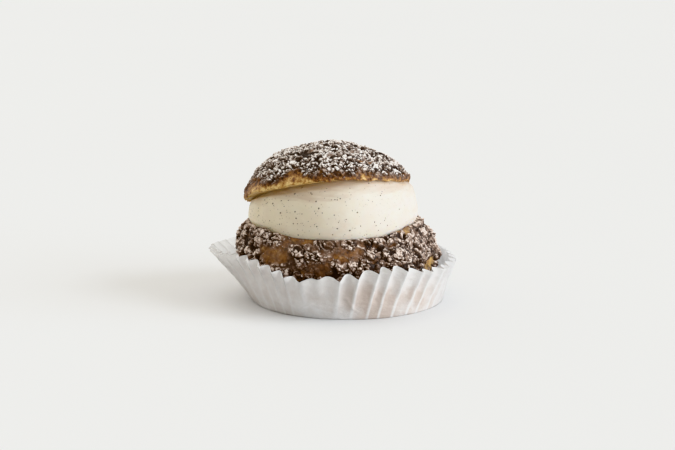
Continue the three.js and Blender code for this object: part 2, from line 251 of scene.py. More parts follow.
# Places of the largest specks in the cream (angle, share of the height) and the number of others
MAIN_SPECKS = [
    (-15, 0.82), (-27, 0.84), (3, 0.66), (5, 0.68), (-11, 0.66), (49, 0.42), (-9, 0.54), (-25, 0.5),
    (-36, 0.48), (-24, 0.38), (1, 0.42), (-26, 0.28), (16, 0.44), (28, 0.26), (29, 0.2), (38, 0.18),
    (18, 0.22), (3, 0.2), (11, 0.16), (-10, 0.24), (0, 0.1), (-44, 0.68), (34, 0.68), (31, 0.12),
]
OTHER_SPECKS = 420
SPECK_SEED = 71
SPECK_CORNERS = 7
# The least of a size or share and how much a random draw adds to it
MAIN_SPECK_SIZE = (0.3, 0.14)
OTHER_SPECK_SIZE = (0.13, 0.2)
SPECK_HEIGHT = (0.04, 0.9)
SPECK_STRETCH = (0.75, 0.5)
SPECK_REACH = (0.75, 0.4)
# How far each part of a speck stands out of the cream, and steps along the cream in angle and share
SPECK_LEVELS = {"rim": -0.02, "top": 0.06, "foot": -0.12}
SPECK_STEPS = (0.5, 0.02)

# Creases pressed into the front of the wall: angle and share at each end, and half their width
WALL_CREASES = [(-19, 0.2, -8, 0.46), (-14, 0.34, -5, 0.3), (7, 0.5, 13, 0.22), (-33, 0.3, -27, 0.12)]
CREASE_HALF_WIDTH = 0.5
CREASE_RISE = 0.35
CREASE_END = (-1, 0.5)
# Layers of crumpling of the wall: how strong and how long each is
WALL_CRUMPLES = ((0.3, 6), (0.2, 2.2), (0.08, 1.1))
WALL_SALT = 400
CRUMPLE_EDGE = (0.05, 0.35)
DIP_BEND = 0.8
ROW_POWER = 0.9
FLOOR_RINGS = (0.3, 0.6, 0.85)
RIDGE_EDGE = (0.2, 0.9)
# Steps in the paper's looks: the number before, the number after, and where the slope between
# them starts and ends, up the wall, from left to right, round the case or away from the bun
# Painted show-through of the crust behind the paper: less up the wall, more towards the right, where the
# light comes from, and less again at the far right
SHOW_THROUGH_UP = (1, 0, 0.45, 1.1)
SHOW_THROUGH_RIGHT = (0.6, 1.5, 0, 20)
SHOW_THROUGH_FAR_RIGHT = (1, 0.25, 27, 40)
LIT_SIDES = (0, 1, 50, 85)
FREE_CLEARANCE = (0, 1, 3, 8)
FREE_HEIGHT = (0, 1, 6, 13)
FREE_RIGHT = (1, 0.3, -15, 20)
# How much light passes: anywhere, more at the sides and the back, and more where the wall is free
PASSING = (0.1, 0.33, 0.45)
# How much of what is behind shows through: anywhere, and more where the wall is free
SHEER = (0.08, 0.42)

# Looks of the crust: the skin's colours from pale to burnt, how fine and how strong its mottling
# is, and the colours of a thin and of a thick layer of sugar
BUN_LOOKS = {
    "skin": [(0.52, 0.33, 0.12), (0.28, 0.135, 0.048), (0.15, 0.064, 0.027), (0.045, 0.02, 0.01)],
    "mottle": (430, 2.1), "dust": (0.41, 0.285, 0.22), "white": (0.86, 0.735, 0.655),
}
LID_LOOKS = {
    "skin": [(0.76, 0.55, 0.24), (0.46, 0.25, 0.08), (0.20, 0.078, 0.028), (0.06, 0.025, 0.012)],
    "mottle": (620, 3.0), "dust": (0.56, 0.45, 0.38), "white": (0.96, 0.92, 0.89),
}
SKIN_STOPS = (0.0, 0.35, 0.7, 1.0)
# The colour deep in the gaps between crumbs: partly the darker baked skin, partly painted shade
GAP_BROWN_AND_SHADE = (0.030, 0.014, 0.008)
CRUMB_TONES = ((0.35, (0.095, 0.052, 0.034)), (0.7, (0.22, 0.135, 0.09)))
DUST_COVER = 0.95
POWDER_CONTRAST = 3.0
POWDER_START = 2.2
POWDER_SHARPNESS = 2.4
CRUST_ROUGHNESS = 0.52
SUGAR_ROUGHNESS = 0.35
CRUST_SHINE = 0.35
# Noise in materials: its scale in swells a metre, then detail and roughness where they are given
MOTTLE_DETAIL = (5, 0.75)
CRUMB_NOISE = (900, 4)
POWDER_NOISE = (1300, 2, 0.7)
CREAM_NOISE = (90, 3)
CREAM_BUMP_NOISE = (350, 5)
CLOUD_NOISE = (170, 5, 0.65, (1, 1, 1.7))
STREAK_NOISE = (75, 4, 0.6, (1, 1, 5))
SPECK_NOISE = (500, 2)
FIBRE_NOISE = (700, 6, 0.65)
BLOTCH_NOISE = (75, 4)
CRINKLE_NOISE = (230, 5, 0.6, (1, 1, 2.6))
FLOOR_NOISE = (6, 2)
# Bumps: how far they reach in metres, and how strong they are
CRUMB_BUMP = (0.0003, 0.5)
CREAM_BUMP = (0.0002, 0.35)
CRINKLE_BUMP = (0.0012, 0.55)

# Looks of the cream and its specks
# The cream's colour towards the shaded left and towards the lit right: painted shade and painted light
CREAM_SHADED_SIDE = ((0.35, (0.73, 0.645, 0.47)), (0.65, (0.78, 0.70, 0.54)))
CREAM_LIT_SIDE = ((0.35, (0.81, 0.745, 0.665)), (0.65, (0.84, 0.785, 0.715)))
CLOUD_COLOUR = (0.70, 0.57, 0.45)
CLOUD_SHARES = ((0.45, 0), (0.68, 0.32))
# Painted shade, warm brown, in the top of the cream under the lid's edge, and where up the cream it starts
# and how strong it grows
UNDER_LID_SHADE = (0.48, 0.34, 0.235)
UNDER_LID_SHADE_SHARES = ((0.66, 0), (0.93, 0.85))
STREAK_STRENGTH = 0.5
STREAK_SHIFT = 0.27
FLECK_SCALE = 620
FLECK_COLOUR = (0.33, 0.25, 0.18)
FLECK_SHARES = ((0.0, 0.8), (0.17, 0))
SPECK_TONES = ((0.3, (0.12, 0.09, 0.07)), (0.7, (0.30, 0.24, 0.18)))
CREAM_FINISH = {
    "Roughness": 0.42, "Specular IOR Level": 0.4,
    "Subsurface Weight": 0.35, "Subsurface Radius": (1.0, 0.7, 0.4), "Subsurface Scale": 0.003,
}
SPECK_FINISH = {"Roughness": 0.6}

# Looks of the paper
PAPER_TONES = ((0.3, (0.90, 0.88, 0.87)), (0.7, (0.96, 0.94, 0.925)))
# The crust's colour painted as showing through the paper
PAPER_SHOW_THROUGH = (0.67, 0.565, 0.50)
BLOTCH_CONTRAST = 3.2
BLOTCH_SHIFT = -1.1
RIDGE_WITHOUT_SHOW_THROUGH = 0.9
THROUGH_COLOUR = (0.93, 0.935, 0.945)
PAPER_FINISH = {"Roughness": 0.55, "Specular IOR Level": 0.3}

# Floor, light and camera
FLOOR_HALF_SIZE = 4000
FLOOR_DROP = 0.1
FLOOR_POINTS = 9
FLOOR_TONES = ((0.3, (0.81, 0.815, 0.828)), (0.7, (0.82, 0.825, 0.838)))
FLOOR_FINISH = {"Roughness": 0.6, "Specular IOR Level": 0.2}
SURROUNDINGS = {"Color": (1.0, 0.975, 0.9, 1), "Strength": 0.17}
# Each light's strength, its azimuth from +X towards +Y, its elevation, its spread and its colour
LIGHTS = {
    "window": (3.5, -18, 15, 52, (0.87, 0.94, 1.0)),
    "skylight": (1.35, 60, 80, 150, (1.0, 0.975, 0.92)),
    "rear_light": (0.6, 90, 45, 120, (1.0, 0.975, 0.92)),
    "left_light": (1.1, 150, 35, 100, (1.0, 0.965, 0.87)),
}
CAMERA_LENS = 135
CAMERA_SENSOR = 36
CAMERA_REACH = 20
CAMERA_PLACE = (0.00165132, -0.8775714, 0.2172122)
CAMERA_PITCH = 77.7

# The random numbers of the part's own source
RANDOM_MULTIPLIER = 1664525
RANDOM_INCREMENT = 1013904223
RANDOM_MODULUS = 2 ** 32
# What mixes a cell's whole numbers into one random number
CELL_FACTORS = (73856093, 19349663, 83492791)
SALT_FACTOR = 2654435761
MIXING_STEPS = ((15, 2246822519), (13, 3266489917))
LAST_SHIFT = 16


# Numbers and noise

def radians(degrees):
    return np.radians(degrees)


def turn_between(angle, other):
    """The signed difference between two angles, from -180 to 180."""
    return (angle - other + FULL_TURN / 2) % FULL_TURN - FULL_TURN / 2


def bell(distance, half_width):
    return np.exp(-(distance / half_width) ** 2)


def rises_at(rises, angle):
    """The sum of the bell-shaped rises at an angle."""
    return sum(height * bell(turn_between(angle, centre), half) for centre, half, height in rises)


def blend(low, high, share):
    return low + (high - low) * share


def eased(value, start, end):
    """0 below start and 1 above end, with a smooth slope between them."""
    share = np.clip((value - start) / (end - start), 0, 1)
    return share * share * (3 - 2 * share)


def graded(value, before, after, start, end):
    """Before up to start and after from end on, with a smooth slope between them."""
    return blend(before, after, eased(value, start, end))


def angle_of(places):
    """The angle of each point round the puff."""
    return np.degrees(np.arctan2(places[:, 0], -places[:, 1]))


def random_from(seed):
    """The same run of even random numbers from 0 to 1 for the same seed."""
    state = seed
    while True:
        state = (state * RANDOM_MULTIPLIER + RANDOM_INCREMENT) % RANDOM_MODULUS
        yield state / RANDOM_MODULUS


def hashed(cells, salt):
    """An even random number from 0 to 1 for each whole-numbered cell."""
    mixed = np.full(len(cells), salt * SALT_FACTOR % RANDOM_MODULUS, np.uint32)
    for axis, factor in enumerate(CELL_FACTORS):
        mixed ^= cells[:, axis].astype(np.uint32) * np.uint32(factor)
    for shift, factor in MIXING_STEPS:
        mixed ^= mixed >> np.uint32(shift)
        mixed *= np.uint32(factor)
    return (mixed ^ mixed >> np.uint32(LAST_SHIFT)) / RANDOM_MODULUS


def noise(places, size, salt):
    """Smooth noise from -1 to 1, with swells about as wide as size."""
    scaled = places / size
    home = np.floor(scaled).astype(np.int64)
    part = scaled - home
    part = part * part * (3 - 2 * part)
    total = np.zeros(len(places))
    for corner in itertools.product((0, 1), repeat=3):
        weights = np.where(np.array(corner, bool), part, 1 - part)
        total += weights.prod(axis=1) * hashed(home + np.array(corner), salt)
    return total * 2 - 1


def layered_noise(places, size, salt, layers=3):
    """Noise with finer and fainter noise laid over it."""
    total = sum(noise(places, size / 2 ** n, salt + n) / 2 ** n for n in range(layers))
    return total / (2 - 0.5 ** (layers - 1))


def summed_noise(places, layers, salt):
    """Noise in layers, each given by its strength and its size."""
    return sum(amount * noise(places, size, salt + n) for n, (amount, size) in enumerate(layers))


def shifted(places, amount, size, salt):
    """The places moved about by noise, so that what is drawn from them has ragged outlines."""
    moves = [noise(places, size, salt + axis) for axis in range(3)]
    return places + amount * np.stack(moves, axis=1)


def grain_in(cell, salt):
    """The random place of the grain in each cell."""
    return cell + np.stack([hashed(cell, salt + axis) for axis in range(3)], axis=1)


def nearest_grains(places, size, salt):
    """Distances in sizes to the nearest and the next grain, its number, and the slope of its top."""
    scaled = places / size
    home = np.floor(scaled).astype(np.int64)
    first = np.full(len(places), np.inf)
    second = first.copy()
    nearest = home.copy()
    for step in itertools.product((-1, 0, 1), repeat=3):
        cell = home + np.array(step)
        distance = np.linalg.norm(grain_in(cell, salt) - scaled, axis=1)
        closer = distance < first
        second = np.where(closer, first, np.minimum(second, distance))
        nearest = np.where(closer[:, None], cell, nearest)
        first = np.minimum(first, distance)
    number = hashed(nearest, salt + 3)
    tilt = 2 * np.stack([hashed(nearest, salt + 4 + axis) for axis in range(3)], axis=1) - 1
    slope = ((scaled - grain_in(nearest, salt)) * tilt).sum(axis=1)
    return first, second, number, slope


# Meshes

def make_piece(name, vertices, faces, attributes=None):
    """A smooth-shaded mesh object from points in millimetres, with a number for each point."""
    mesh = bpy.data.meshes.new(name)
    mesh.from_pydata((np.asarray(vertices) * MILLIMETRE).tolist(), [], [list(face) for face in faces])
    mesh.validate()
    mesh.shade_smooth()
    for label, values in (attributes or {}).items():
        layer = mesh.attributes.new(label, "FLOAT", "POINT")
        layer.data.foreach_set("value", np.asarray(values, np.float32))
    piece = bpy.data.objects.new(name, mesh)
    bpy.context.scene.collection.objects.link(piece)
    return piece


def ring_faces(rows, columns, start=0):
    """Four-sided faces between rings of equal length, one after the other."""
    row, column = np.meshgrid(np.arange(rows - 1), np.arange(columns), indexing="ij")
    after = (column + 1) % columns
    corners = [row * columns + column, row * columns + after]
    corners += [(row + 1) * columns + after, (row + 1) * columns + column]
    return (np.stack([corner.ravel() for corner in corners], axis=1) + start).tolist()


def fan_faces(centre, ring_start, columns, outward):
    """Triangles from a centre point to a ring."""
    ring = [ring_start + column for column in range(columns)]
    pairs = zip(ring, ring[1:] + ring[:1])
    return [(centre, here, after) if outward else (centre, after, here) for here, after in pairs]


def closed_faces(rows, columns):
    """The faces of rings that two points after them close, one at each end."""
    faces = ring_faces(rows, columns)
    faces += fan_faces(rows * columns, 0, columns, False)
    return faces + fan_faces(rows * columns + 1, (rows - 1) * columns, columns, True)


def normals_of(vertices, faces):
    """Smooth normals at the points of a mesh of triangles and four-sided faces."""
    normals = np.zeros_like(vertices)
    for corners in (3, 4):
        group = np.array([face for face in faces if len(face) == corners])
        across = vertices[group[:, 2]] - vertices[group[:, 0]]
        along = vertices[group[:, -1]] - vertices[group[:, 1]]
        flat = np.cross(across, along)
        for corner in range(corners):
            np.add.at(normals, group[:, corner], flat)
    return normals / np.maximum(np.linalg.norm(normals, axis=1, keepdims=True), 1e-12)


# Bodies of revolution

def bun_profile(share):
    """The bun's profile from the middle of its foot, round the side, to the middle of the cut."""
    share = np.asarray(share, float)
    out = share / BUN_FOOT_TURN
    side = np.clip((share - BUN_FOOT_TURN) / (BUN_WAIST_TURN - BUN_FOOT_TURN), 0, 1)
    below = 1 - np.sin(side * math.pi / 2)
    spread = (1 - below ** BUN_FOOT_POWER) ** (1 / BUN_FOOT_POWER)
    above = np.clip((share - BUN_WAIST_TURN) / (BUN_CUT_TURN - BUN_WAIST_TURN), 0, 1)
    inward = (1 - share) / (1 - BUN_CUT_TURN)
    part = [share < BUN_FOOT_TURN, share < BUN_WAIST_TURN, share < BUN_CUT_TURN]
    radius = np.select(part, [
        BUN_FOOT_RADIUS * out,
        BUN_FOOT_RADIUS + (BUN_RADIUS - BUN_FOOT_RADIUS) * spread,
        BUN_RADIUS - (BUN_RADIUS - BUN_CUT_RADIUS) * above ** BUN_TOP_POWER,
    ], BUN_CUT_RADIUS * inward)
    height = np.select(part, [
        BUN_FOOT_HEIGHT - FLAT_CROWN * (1 - out ** 2),
        BUN_WAIST_HEIGHT - (BUN_WAIST_HEIGHT - BUN_FOOT_HEIGHT) * below,
        BUN_WAIST_HEIGHT + (BUN_CUT_HEIGHT - BUN_WAIST_HEIGHT) * above,
    ], BUN_CUT_HEIGHT + FLAT_CROWN * (1 - inward ** 2))
    return radius, height


def lid_profile(share):
    """The lid's profile in its own frame, from the top of the dome to the middle of its underside."""
    share = np.asarray(share, float)
    out = np.sin(np.clip(share / LID_EDGE_TURN, 0, 1) * math.pi / 2)
    inward = (1 - share) / (1 - LID_EDGE_TURN)
    on_dome = share < LID_EDGE_TURN
    rise = (1 - out ** LID_INNER_POWER) ** (1 / LID_OUTER_POWER)
    radius = np.where(on_dome, LID_RADIUS * out, LID_RADIUS * inward)
    height = np.where(on_dome, LID_HEIGHT * rise, -FLAT_CROWN * (1 - inward ** 2))
    return radius, height


def scattered_sites(profile, spacing, draw):
    """Sites spread evenly over a body of revolution, as in the part's source."""
    sites = []
    shares = np.arange(PROFILE_STEPS + 1) / PROFILE_STEPS
    radii, heights = profile(shares)
    travelled = 0
    last_share = 0
    turned = 0
    for step, share in enumerate(shares):
        if step:
            travelled += math.hypot(radii[step] - radii[step - 1], heights[step] - heights[step - 1])
        if travelled < spacing and 0 < step < PROFILE_STEPS:
            continue
        travelled = 0
        turned += 0.5
        count = max(1, math.floor(2 * math.pi * radii[step] / spacing + 0.5))
        for index in range(count):
            around = (next(draw) - 0.5) * GRAIN_PLAY
            along = (next(draw) - 0.5) * GRAIN_PLAY * (share - last_share)
            radius, height = profile(min(max(share + along, 0), 1))
            sites.append((FULL_TURN * (index + turned + around) / count, float(radius), float(height)))
        last_share = share
    return sites


def on_circle(angle, radius, height):
    """Points at an angle, a radius and a height."""
    turned = radians(angle)
    return np.stack([radius * np.sin(turned), -radius * np.cos(turned), height + 0 * turned], axis=-1)


def lumps_on(profile, crust, has_crust):
    """The lumps of crust on a body: the place, reach and height of each."""
    draw = random_from(crust["seed"])
    lumps = []
    for angle, radius, height in scattered_sites(profile, crust["spacing"], draw):
        reach = crust["spacing"] * (LUMP_REACH + LUMP_REACH_PLAY * next(draw))
        rise = crust["height"] * (1 - LUMP_HEIGHT_PLAY * next(draw))
        if has_crust(angle, radius, height):
            lumps.append((on_circle(angle, radius, height), reach, rise))
    return lumps


def lump_height(places, lumps):
    """How far the lumps of crust stand above the skin."""
    height = np.zeros(len(places))
    for place, reach, rise in lumps:
        near = np.flatnonzero(np.abs(places - place).max(axis=1) < reach)
        nearness = 1 - ((places[near] - place) ** 2).sum(axis=1) / reach ** 2
        raised = rise * np.clip(LUMP_STEEPNESS * nearness, 0, 1)
        height[near] = np.maximum(height[near], raised)
    return height


def swell_height(places):
    """The slow swells and hollows of a baked body."""
    waves = np.sin(places / SKIN_SWELL_LENGTH + np.array(SKIN_SWELL_START))
    return SKIN_SWELL * waves.sum(axis=1)


def crumb_layer(places, layer, crust):
    """Crumbs of one size: their height, how clear of the gaps each point is, and their numbers."""
    size = crust["sizes"][layer]
    gap = CRUMB_GAPS[layer]
    first, second, number, slope = nearest_grains(places, size, crust["salt"] + 20 + 5 * layer)
    clear = eased(0.5 * size * (second - first), GAP_FLOOR * gap, gap) * (number > MISSING_CRUMBS[layer])
    slope = np.clip(slope, -CRUMB_SLOPE_MOST, CRUMB_SLOPE_MOST)
    top = 1 - CRUMB_ROUNDING * first + crust["tilt"] * slope
    return clear * top * blend(1 - CRUMB_HEIGHT_PLAY, 1, number), clear, number


def crust_surface(places, lump_places, lumps, bare, fill, crust):
    """The crust's height above the smooth body, how much of it is crust, its peaks and its tone."""
    salt = crust["salt"]
    plateau = lump_height(shifted(lump_places, *LUMP_RAGGEDNESS, salt), lumps) / crust["height"]
    warped = shifted(places, *CRUMB_RAGGEDNESS, salt + 10)
    warped = shifted(warped, *crust["ragged"], salt + 14)
    layers = [crumb_layer(warped, layer, crust) for layer in range(3)]
    (nugget, crumb, fine), clears, (tone, _, fleck) = zip(*layers)
    filler = fill * eased(layered_noise(places, FILLER_SIZE, salt + 45), *FILLER_EDGE)
    cover = (1 - bare) * np.maximum(eased(plateau, *CRUST_EDGE), filler)
    heights = (nugget, crumb * blend(CRUMB_LEAST, 1, nugget), fine)
    rise = crust["height"] * LUMP_SHARE * plateau - crust["sink"] * cover
    rise += cover * sum(lift * height for lift, height in zip(crust["lifts"], heights))
    rise += (1 - cover) * SKIN_GRAIN * layered_noise(places, SKIN_GRAIN_SIZE, salt + 40, 4)
    # The peaks are clear of the gaps, which the material darkens, partly with painted shade
    peak = cover
    for clear, lightness in zip(clears, GAP_LIGHTNESS):
        peak = peak * blend(lightness, 1, clear)
    return rise, cover, peak, TONE_PLAY * (tone - 0.5) + FLECK_PLAY * (fleck - 0.5)


def bare_patches(places):
    """How bare the bun's skin is at each point, and how deeply that skin is baked."""
    ragged = places
    for step, (amount, size) in enumerate(PATCH_RAGGEDNESS):
        ragged = shifted(ragged, amount, size, PATCH_SALT + 10 * step)
    bare = 1 - eased(places[:, 2], BUN_CRUST_FOOT - BARE_FOOT_FADE, BUN_CRUST_FOOT)
    bake = np.full(len(places), BUN_BAKE)
    stray = eased(layered_noise(places, STRAY_SIZE, PATCH_SALT + 20), *STRAY_EDGE)
    for (centre, middle, half_angle, half_height), baked, strewn in zip(BUN_BARE, BARE_BAKE, BARE_STREWN):
        across = turn_between(angle_of(ragged), centre) / half_angle
        up = (ragged[:, 2] - middle) / half_height
        nearness = 1 - eased(across ** 2 + up ** 2, *PATCH_EDGE)
        bake = np.where(nearness > bare, baked, bake)
        bare = np.maximum(bare, nearness * (1 - strewn * stray))
    return bare, bake


def sugar_cover(places, normals, cover, peak, tone, crust):
    """How much icing sugar lies on each point: most on the crumbs that face up."""
    amount, facing, drift = crust["sugar"]
    patches = SUGAR_PATCH_PLAY * layered_noise(places, SUGAR_PATCH_SIZE, crust["salt"] + 50)
    level = amount + facing * normals[:, 2] + patches + tone + drift * places[:, 0] / BUN_RADIUS
    reached = 1 - cover * (1 - eased(peak, *SUGAR_EDGE))
    on_skin = SKIN_SUGAR + SKIN_SUGAR_PLAY * layered_noise(places, SKIN_SUGAR_SIZE, crust["salt"] + 60)
    return np.clip(level, 0, SUGAR_MOST) * blend(np.clip(on_skin, 0, 1), 1, cover) * reached


def crust_piece(name, surface, faces, layers, bake, crust, thinned=(1, 1)):
    """A piece with its crust's numbers, which are 0 on the plain points at its end."""
    crusted = len(bake)
    extra = np.zeros(len(surface) - crusted)
    cover, peak, tone, bake = (np.concatenate([values, extra]) for values in (*layers, bake))
    lying = sugar_cover(surface, normals_of(surface, faces), cover, peak, tone, crust)
    for values, share in zip((lying, cover), thinned):
        values[:crusted] *= share
    return make_piece(name, surface, faces, {"crust": cover, "peak": peak, "sugar": lying, "bake": bake})


# Lower half of the bun

def is_bare_on_bun(angle, height):
    return any(
        (turn_between(angle, centre) / half_angle) ** 2 + ((height - middle) / half_height) ** 2 < 1
        for centre, middle, half_angle, half_height in BUN_BARE
    )


def bun_has_crust(angle, radius, height):
    return height > BUN_CRUST_FOOT and radius >= BUN_CUT_RADIUS and not is_bare_on_bun(angle, height)


def settled(places):
    """Leans the bun to the left above its waist, dips its cut and moves it to its place."""
    above = np.maximum(0, places[:, 2] - BUN_WAIST_HEIGHT)
    dip = BUN_CUT_TILT * places[:, 1] * above / (BUN_CUT_HEIGHT - BUN_WAIST_HEIGHT)
    return places + np.stack([BUN_LEAN * above + BUN_CENTRE[0], BUN_CENTRE[1] + 0 * above, dip], axis=1)


def shares_along(profile, start, end, step):
    """Shares between two turns of a profile, about one step apart along it."""
    fine = np.linspace(start, end, PROFILE_SAMPLES)
    radius, height = profile(fine)
    travelled = np.concatenate([[0], np.cumsum(np.hypot(np.diff(radius), np.diff(height)))])
    count = max(2, round(travelled[-1] / step) + 1)
    return np.interp(np.linspace(0, travelled[-1], count), travelled, fine)


def profile_normals(profile, shares, facing):
    """Outward normals of a profile, as a share of the radius and of the height."""
    before = profile(np.clip(shares - PROFILE_NUDGE, 0, 1))
    after = profile(np.clip(shares + PROFILE_NUDGE, 0, 1))
    along = (after[0] - before[0], after[1] - before[1])
    length = np.hypot(*along)
    return facing * along[1] / length, -facing * along[0] / length


def bun_piece():
    fine_start = blend(BUN_FOOT_TURN, BUN_WAIST_TURN, BUN_FINE_START)
    shares = np.concatenate([
        np.linspace(*BUN_FOOT_RINGS)[:-1],
        shares_along(bun_profile, BUN_FOOT_TURN, fine_start, COARSE_STEP)[:-1],
        shares_along(bun_profile, fine_start, BUN_CUT_TURN - NUDGE, BUN_STEP),
        np.linspace(*BUN_CUT_RINGS),
    ])
    columns = round(2 * math.pi * BUN_RADIUS / BUN_STEP)
    angle = np.tile(np.arange(columns) * FULL_TURN / columns, len(shares))
    profile = (*bun_profile(shares), *profile_normals(bun_profile, shares, 1))
    radius, height, out, up = (np.repeat(values, columns) for values in profile)
    places = on_circle(angle, radius, height)
    outward = on_circle(angle, out, up)
    lumps = lumps_on(bun_profile, BUN_CRUST, bun_has_crust)
    bare, bake = bare_patches(places)
    below_cut = BUN_CUT_HEIGHT - height
    lift = rises_at(BUN_EDGE_LIFTS, angle) * (1 - eased(below_cut, *LIFT_EDGE)) * eased(below_cut, *LIFT_TOP)
    lift *= 1 + LIFT_PLAY * noise(places, LIFT_PLAY_SIZE, LIFT_SALT)
    lifted = places + lift[:, None] * (BUN_EDGE_SPREAD * outward * [1, 1, 0] + [0, 0, 1])
    fill = 1 - rises_at(BUN_THIN_CRUST, angle)
    rise, *layers = crust_surface(lifted, places, lumps, bare, fill, BUN_CRUST)
    fade = np.clip(below_cut / BUN_EDGE_FADE, 0, 1)
    fade[height < BUN_FOOT_HEIGHT + FLAT_CROWN] = 0
    surface = lifted + outward * ((rise + swell_height(places)) * fade)[:, None]
    ends = [[0, 0, BUN_FOOT_HEIGHT - FLAT_CROWN], [0, 0, BUN_CUT_HEIGHT + FLAT_CROWN]]
    surface = settled(np.concatenate([surface, ends]))
    faces = closed_faces(len(shares), columns)
    return crust_piece("base_crust", surface, faces, layers, bake, BUN_CRUST)


# Lid

def lid_bare_height(angle):
    """The height above the lid's edge where its crust begins."""
    return LID_BARE_EDGE + rises_at(LID_BARE_RISES, angle)


def lid_has_crust(angle, radius, height):
    return height > lid_bare_height(angle)


def bare_lip(places):
    """How bare the lid's lip is at each point, and how deeply its skin is baked."""
    ragged = shifted(places, *LIP_RAGGEDNESS, LIP_SALT)
    start = lid_bare_height(angle_of(ragged))
    bake = LIP_BAKE + rises_at(LIP_DEEPER_BAKE, angle_of(ragged))
    up = ragged[:, 2] / (start + LIP_TOP_MARGIN)
    return 1 - eased(ragged[:, 2] - start, *LIP_EDGE), graded(up, bake, *LIP_TOP_BAKE)


def rounded_lip(places):
    """Moves the lid's edge: it is rounded below, droops at the front right, and has small nubs."""
    level = places * [1, 1, 0]
    rim = np.clip(1 - places[:, 2] / LIP_ROUNDING_HEIGHT, 0, 1)
    waver = summed_noise(level, LIP_WAVERS, LIP_SALT + 10)
    scale = 1 + rim * (waver - LIP_ROUNDING * rim) / np.maximum(np.hypot(places[:, 0], places[:, 1]), 1)
    dip = summed_noise(level, LIP_DIPS, LIP_SALT + 12)
    droop = rises_at(LID_DROOPS, angle_of(places)) * np.clip(1 - places[:, 2] / LID_DROOP_HEIGHT, 0, 1) ** 2
    moved = places * np.stack([scale, scale, np.ones(len(places))], axis=1)
    moved[:, 2] += rim * (dip - LIP_LOWERED) - droop
    return moved


def turned_lid(places):
    """Lid points in the object's frame."""
    pitch, roll = radians(-LID_PITCH), radians(-LID_ROLL)
    about_x = [[1, 0, 0], [0, math.cos(pitch), -math.sin(pitch)], [0, math.sin(pitch), math.cos(pitch)]]
    about_y = [[math.cos(roll), 0, math.sin(roll)], [0, 1, 0], [-math.sin(roll), 0, math.cos(roll)]]
    return places @ (np.array(about_x) @ np.array(about_y)).T + np.array(LID_CENTRE)


def hexagon_point(ring, index):
    return 1 + 3 * ring * (ring - 1) + index % (6 * ring) if ring else 0


def hexagon_faces(rings):
    """Triangles between rings of 6, 12, 18 ... points round one centre point."""
    faces = []
    for ring, sector in itertools.product(range(rings), range(6)):
        for index in range(ring + 1):
            inner, outer = sector * ring + index, sector * (ring + 1) + index
            after = hexagon_point(ring + 1, outer + 1)
            faces.append((hexagon_point(ring, inner), hexagon_point(ring + 1, outer), after))
            if index < ring:
                faces.append((hexagon_point(ring, inner), after, hexagon_point(ring, inner + 1)))
    return faces


def lid_piece():
    shares = shares_along(lid_profile, 0, LID_EDGE_TURN - NUDGE, LID_STEP)
    rings = len(shares) - 1
    radii, heights = lid_profile(shares)
    out, up = profile_normals(lid_profile, np.clip(shares, LID_TOP_SHARE, 1), -1)
    counts = [1] + [6 * ring for ring in range(1, rings + 1)]
    ring_of = np.repeat(np.arange(rings + 1), counts)
    angle = np.concatenate([np.arange(count) * FULL_TURN / count for count in counts])
    places = on_circle(angle, radii[ring_of], heights[ring_of])
    outward = on_circle(angle, out[ring_of], up[ring_of])
    outward[0] = (0, 0, 1)
    lumps = lumps_on(lid_profile, LID_CRUST, lid_has_crust)
    bare, bake = bare_lip(places)
    rise, *layers = crust_surface(places, places, lumps, bare, 1, LID_CRUST)
    fade = np.clip(places[:, 2] / LID_EDGE_FADE, 0, 1)
    surface = rounded_lip(places) + outward * ((rise + swell_height(places)) * fade)[:, None]
    for middle, half_width, height in LID_SWELLS:
        swell = height * bell(places[:, 0] - middle, half_width)
        surface[:, 2] += swell * eased(places[:, 2], *LID_SWELL_FOOT) * eased(places[:, 1], *LID_SWELL_BACK)
    columns = counts[-1]
    under = [surface]
    for share, kept in UNDERSIDE_RINGS:
        radius, height = lid_profile(share)
        ring = on_circle(angle[-columns:], float(radius), float(height))
        under.append(ring + kept * surface[-columns:] * [0, 0, 1])
    under.append(np.array([[0, 0, -FLAT_CROWN]]))
    points = turned_lid(np.concatenate(under))
    faces = hexagon_faces(rings)
    faces += ring_faces(len(UNDERSIDE_RINGS) + 1, columns, len(surface) - columns)
    faces += fan_faces(len(points) - 1, len(points) - 1 - columns, columns, True)
    # The crust thins out towards the lip, with less sugar on it and rusty skin between the crumbs
    above_lip = places[:, 2] - lid_bare_height(angle) + noise(places, LIP_PLAY_SIZE, LIP_SALT + 20)
    thinned = [graded(above_lip, *step) for step in LIP_THINNING]
    return crust_piece("lid_crust", points, faces, layers, bake, LID_CRUST, thinned)


# Cream

def lid_underside_at(x, y):
    normal = turned_lid(np.array([[0, 0, 1.0]]))[0] - np.array(LID_CENTRE)
    across = normal[0] * (x - LID_CENTRE[0]) + normal[1] * (y - LID_CENTRE[1])
    return LID_CENTRE[2] - across / normal[2]


def cream_foot_at(y):
    return BUN_CUT_HEIGHT + BUN_CUT_TILT * (y - BUN_CENTRE[1])


